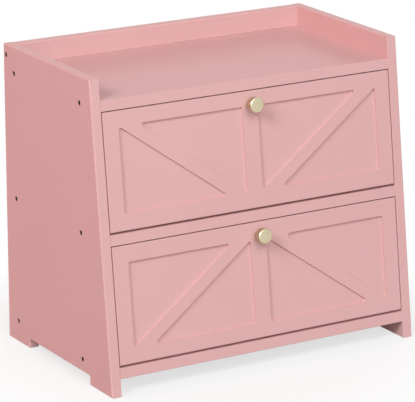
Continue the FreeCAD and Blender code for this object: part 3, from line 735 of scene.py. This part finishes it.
# %% Turn the knobs
KNOB_BELOW_TOP = 14.8 * MM
KNOB_NECK_RADIUS = 5.0 * MM
KNOB_NECK_LENGTH = 7.0 * MM
KNOB_HEAD_RADIUS = 8.75 * MM
KNOB_HEAD_THICKNESS = 9.0 * MM
KNOB_CHAMFER = 1.0 * MM
KNOB_BORE_RADIUS = 2.02 * MM
KNOB_BORE_DEPTH = 11.0 * MM
KNOB_SOFTENING = 0.22 * MM
KNOB_SEGMENTS = 96
SOFT_STEPS = 4


def knob_section():
    """Half of a knob's section as corners of (radius, height), from the end of its bore to its face."""
    shoulder, face = KNOB_NECK_LENGTH, KNOB_NECK_LENGTH + KNOB_HEAD_THICKNESS
    narrow = KNOB_HEAD_RADIUS - KNOB_CHAMFER
    return [(0.0, KNOB_BORE_DEPTH), (KNOB_BORE_RADIUS, KNOB_BORE_DEPTH), (KNOB_BORE_RADIUS, 0.0),
            (KNOB_NECK_RADIUS, 0.0), (KNOB_NECK_RADIUS, shoulder), (narrow, shoulder),
            (KNOB_HEAD_RADIUS, shoulder + KNOB_CHAMFER), (KNOB_HEAD_RADIUS, face - KNOB_CHAMFER),
            (narrow, face), (0.0, face)]


def softened(corners, reach):
    """Corners of a section, each inner one replaced by a short curve that starts reach before it."""
    points = [Vector(corner) for corner in corners]
    line = [points[0]]
    for before, corner, after in zip(points, points[1:], points[2:]):
        start = corner + (before - corner).normalized() * reach
        end = corner + (after - corner).normalized() * reach
        for step in range(SOFT_STEPS + 1):
            share = step / SOFT_STEPS
            line.append(start.lerp(corner, share).lerp(corner.lerp(end, share), share))
    return line + [points[-1]]


def turned_knob(name):
    """A knob standing on the plane z = 0, with its axis along z."""
    section = softened(knob_section(), KNOB_SOFTENING)
    shape = bmesh.new()
    travelled = shape.verts.layers.float.new("turning")
    rings, way = [], 0.0
    for number, (radius, height) in enumerate(section):
        way += (section[number] - section[number - 1]).length if number else 0.0
        count = KNOB_SEGMENTS if radius > TINY else 1
        angles = [2 * math.pi * step / count for step in range(count)]
        ring = [shape.verts.new((radius * math.cos(a), radius * math.sin(a), height)) for a in angles]
        for vert in ring:
            vert[travelled] = way
        rings.append(ring)
    for lower, upper in zip(rings, rings[1:]):
        for step in range(KNOB_SEGMENTS):
            following = step + 1
            corners = [ring[k % len(ring)] for ring, k in
                       ((lower, step), (lower, following), (upper, following), (upper, step))]
            shape.faces.new(dict.fromkeys(corners))
    bmesh.ops.recalc_face_normals(shape, faces=shape.faces)
    mesh = bpy.data.meshes.new(name)
    shape.to_mesh(mesh)
    shape.free()
    mesh.shade_smooth()
    mesh.materials.append(finishes["knob_metal"])
    return mesh


for layer in boards:
    knob = turned_knob(f"{layer}_turned_knob")
    seat = Matrix.Translation((0.0, door_height(layer) - KNOB_BELOW_TOP, 0.0))
    knob.transform(door_frame(layer) @ seat)
    finished_piece(knob, f"{layer}_door", "knob_metal", f"{layer}_door_knob")

# %% [markdown]
# ## Where the screws are
#
# The screws of the solid model are plain, but they stand in the right places.  Each of its nodes can hold
# several of them, so a copy of the node's mesh is merged, taken apart into its separate solids, and the
# middle of the top of each head is measured along the direction that the heads face.

# %% Find the screws
def separate_solids(node):
    """The points of each separate solid in a node of the solid model."""
    shape = bmesh.new()
    shape.from_mesh(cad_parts[node].data)
    bmesh.ops.remove_doubles(shape, verts=shape.verts, dist=TINY)
    waiting = set(shape.verts)
    solids = []
    while waiting:
        reached = [waiting.pop()]
        for vert in reached:
            fresh = {edge.other_vert(vert) for edge in vert.link_edges} & waiting
            waiting -= fresh
            reached.extend(fresh)
        solids.append([vert.co.copy() for vert in reached])
    shape.free()
    return solids


def head_tops(node, outwards):
    """The middle of the top of each screw head in a node, where outwards is the way the heads face."""
    turn = outwards.to_track_quat("Z", "Y").to_matrix()
    tops = []
    for points in separate_solids(node):
        own = [turn.transposed() @ point for point in points]
        spans = [(min(p[axis] for p in own), max(p[axis] for p in own)) for axis in range(3)]
        tops.append(turn @ Vector((sum(spans[0]) / 2, sum(spans[1]) / 2, spans[2][1])))
    return sorted(tops, key=tuple)


left_tops = head_tops("left_panel_screws", Vector((-1.0, 0.0, 0.0)))
print(len(left_tops), "screws in the left side; the first at", [round(c / MM, 1) for c in left_tops[0]])

# %% [markdown]
# ## A screw
#
# A wood screw is a section spun round an axis, a cross sunk into its head and a thread wound round its
# shank, and there are many of them, so this is work for Geometry Nodes.  The tree makes one screw from
# its sizes, then sets a copy on every point that it is given, facing outwards and turned by a random
# amount, because no two screws are ever driven home at the same angle.  One tree serves both kinds of
# head: where the seat is as narrow as the shank the head is countersunk, and otherwise it is round.

# %% The tree for screws
SCREW_SIZES = ("Head", "Seat", "Head height", "Rounding", "Shank", "Length", "Point", "Tip", "Slot width",
               "Slot length", "Slot depth", "Pitch", "Thread height", "Out X", "Out Y", "Out Z", "Seed")
SCREW_SIDES = 32
HEAD_STEPS = 5
RIM_CORNER = 1
THREAD_STEPS = 20
RIDGE_SIDES = 3
DEEPER_ARM = 1.1


def screw_body(tree, given):
    """The spun part of a screw, its head's top at the origin and its axis along z.

    The ring that the section is swept along has the shank's radius, so the section is measured from there.
    """
    head, seat, shank, tip = [maths(tree, "MULTIPLY", given[name], 0.5)
                              for name in ("Head", "Seat", "Shank", "Tip")]
    neck, end = given["Head height"], given["Length"]
    taper = maths(tree, "SUBTRACT", end, given["Point"])
    section = [(0.0, 0.0), (head, 0.0), (seat, neck), (shank, neck), (shank, taper), (tip, end), (0.0, end)]
    points = [vector(tree, maths(tree, "SUBTRACT", radius, shank), down) for radius, down in section]
    rounding = maths(tree, "MULTIPLY", at_corner(tree, RIM_CORNER), given["Rounding"])
    line = rounded(tree, polyline(tree, points, False), rounding, HEAD_STEPS)
    circle = {"Resolution": SCREW_SIDES, "Radius": shank}
    ring = add(tree, "GeometryNodeCurvePrimitiveCircle", circle).outputs[0]
    ring = add(tree, "GeometryNodeSetCurveNormal", {"Curve": ring}, mode="Z_UP").outputs[0]
    spun = add(tree, "GeometryNodeCurveToMesh", {"Curve": ring, "Profile Curve": line}).outputs[0]
    return welded(tree, spun)


def cross_slot(tree, given, body):
    """The body with a cross sunk into its head, whose arms differ in depth, so that no faces coincide."""
    deep = maths(tree, "MULTIPLY", given["Slot depth"], 2.0)
    size = vector(tree, given["Slot length"], given["Slot width"], deep)
    arm = add(tree, "GeometryNodeMeshCube", {"Size": size}).outputs[0]
    other = moved(tree, arm, Rotation=(0.0, 0.0, math.pi / 2), Scale=(1.0, 1.0, DEEPER_ARM))
    cut = add(tree, "GeometryNodeMeshBoolean", {"Mesh 1": body, "Mesh 2": arm}, operation="DIFFERENCE")
    tree.links.new(other, cut.inputs["Mesh 2"])
    return cut.outputs[0]


def screw_thread(tree, given):
    """A ridge wound round the shank, from below the head to the start of the point."""
    long = given["Length"]
    for name in ("Point", "Head height", "Pitch"):
        long = maths(tree, "SUBTRACT", long, given[name])
    radius = maths(tree, "MULTIPLY", given["Shank"], 0.5)
    turns = maths(tree, "DIVIDE", long, given["Pitch"])
    sizes = {"Resolution": THREAD_STEPS, "Rotations": turns, "Start Radius": radius, "End Radius": radius,
             "Height": long}
    wound = add(tree, "GeometryNodeCurveSpiral", sizes).outputs[0]
    triangle = {"Resolution": RIDGE_SIDES, "Radius": given["Thread height"]}
    ridge = add(tree, "GeometryNodeCurvePrimitiveCircle", triangle).outputs[0]
    swept = {"Curve": wound, "Profile Curve": ridge, "Fill Caps": True}
    thread = add(tree, "GeometryNodeCurveToMesh", swept).outputs[0]
    start = maths(tree, "SUBTRACT", given["Point"], given["Length"])
    return moved(tree, thread, Translation=vector(tree, 0.0, 0.0, start))


def screw_tree():
    """The tree that sets a screw on every point of a mesh."""
    tree, given = new_tree("wood_screws", SCREW_SIZES)
    screw = join(tree, cross_slot(tree, given, screw_body(tree, given)), screw_thread(tree, given))
    outwards = vector(tree, given["Out X"], given["Out Y"], given["Out Z"])
    facing = add(tree, "FunctionNodeAlignRotationToVector", {"Vector": outwards}, axis="Z").outputs[0]
    spin = add(tree, "FunctionNodeRandomValue", {"Seed": given["Seed"]}, data_type="FLOAT")
    angle = maths(tree, "MULTIPLY", next(s for s in spin.outputs if s.enabled), math.pi / 2)
    turn = add(tree, "FunctionNodeEulerToRotation", {0: vector(tree, 0.0, 0.0, angle)}).outputs[0]
    facing = add(tree, "FunctionNodeRotateRotation", {"Rotation": facing, "Rotate By": turn},
                 rotation_space="LOCAL").outputs[0]
    points = add(tree, "GeometryNodeMeshToPoints", {"Mesh": given["Geometry"]}).outputs[0]
    placed = {"Points": points, "Instance": screw, "Rotation": facing}
    finish_tree(tree, given, add(tree, "GeometryNodeInstanceOnPoints", placed).outputs[0])
    return tree


wood_screws = screw_tree()
print("tree", wood_screws.name, "has", len(wood_screws.nodes), "nodes")

# %% [markdown]
# ## The screws
#
# Seven blackened screws go through each side, countersunk a little below the lacquer; their warm brown
# tint is painted rosy light bounced from the lacquer into their holes.  Behind the doors are bright ones:
# round heads hold the catches and the knobs, flat heads the strike plates.  Each set is one mesh on one
# body, and hides the plain screws that it stands for.

# %% Set the screws
SIDE_SCREW = {"Head": 6.0 * MM, "Seat": 3.5 * MM, "Head height": 2.4 * MM, "Rounding": 0.0,
              "Shank": 3.5 * MM, "Length": 35.0 * MM, "Point": 4.0 * MM, "Tip": 0.9 * MM,
              "Pitch": 1.6 * MM}
CATCH_SCREW = {"Head": 5.6 * MM, "Seat": 5.6 * MM, "Head height": 2.0 * MM, "Rounding": 1.0 * MM,
               "Shank": 3.0 * MM, "Length": 13.0 * MM, "Point": 2.5 * MM, "Tip": 0.8 * MM,
               "Pitch": 1.3 * MM}
STRIKE_SCREW = {"Head": 4.8 * MM, "Seat": 2.5 * MM, "Head height": 1.2 * MM, "Rounding": 0.0,
                "Shank": 2.5 * MM, "Length": 8.0 * MM, "Point": 2.0 * MM, "Tip": 0.7 * MM,
                "Pitch": 1.1 * MM}
KNOB_SCREW = {"Head": 8.0 * MM, "Seat": 8.0 * MM, "Head height": 2.6 * MM, "Rounding": 1.3 * MM,
              "Shank": 4.0 * MM, "Length": 23.6 * MM, "Point": 0.5 * MM, "Tip": 3.2 * MM,
              "Pitch": 0.7 * MM}
EVERY_SCREW = {"Slot width": 0.9 * MM, "Slot length": 3.0 * MM, "Slot depth": 0.7 * MM,
               "Thread height": 0.25 * MM}
SMOOTH_BELOW = math.radians(35.0)


def set_screws(name, node, body, slot, kind, outwards, seed):
    """Detailed screws of one kind in the places of a node's plain ones."""
    points = bpy.data.meshes.new("screw_places")
    points.from_pydata(head_tops(node, outwards), [], [])
    holder = bpy.data.objects.new("screw_places", points)
    bpy.context.scene.collection.objects.link(holder)
    way = {"Out X": outwards.x, "Out Y": outwards.y, "Out Z": outwards.z}
    chosen = {"Seed": float(seed), "Material": finishes[slot]}
    run_tree(holder, wood_screws, {**kind, **EVERY_SCREW, **way, **chosen})
    mesh = plain_mesh(holder, name)
    mesh.shade_smooth()
    mesh.set_sharp_from_angle(angle=SMOOTH_BELOW)
    finished_piece(mesh, body, slot, node)


left, right, down = Vector((-1.0, 0.0, 0.0)), Vector((1.0, 0.0, 0.0)), Vector((0.0, 0.0, -1.0))
set_screws("left_side_screws", "left_panel_screws", "cabinet", "dark_steel", SIDE_SCREW, left, 1)
set_screws("right_side_screws", "right_panel_screws", "cabinet", "dark_steel", SIDE_SCREW, right, 2)
for seed, layer in enumerate(boards, start=3):
    inside = door_frame(layer).to_3x3() @ Vector((0.0, 0.0, -1.0))
    fixings = (("catch", f"{layer}_catch_screws", "cabinet", CATCH_SCREW, down),
               ("strike", f"{layer}_strike_screws", f"{layer}_door", STRIKE_SCREW, inside),
               ("knob", f"{layer}_knob_screw", f"{layer}_door", KNOB_SCREW, inside))
    for purpose, node, body, kind, outwards in fixings:
        set_screws(f"{layer}_{purpose}_fixings", node, body, "bright_steel", kind, outwards, seed)
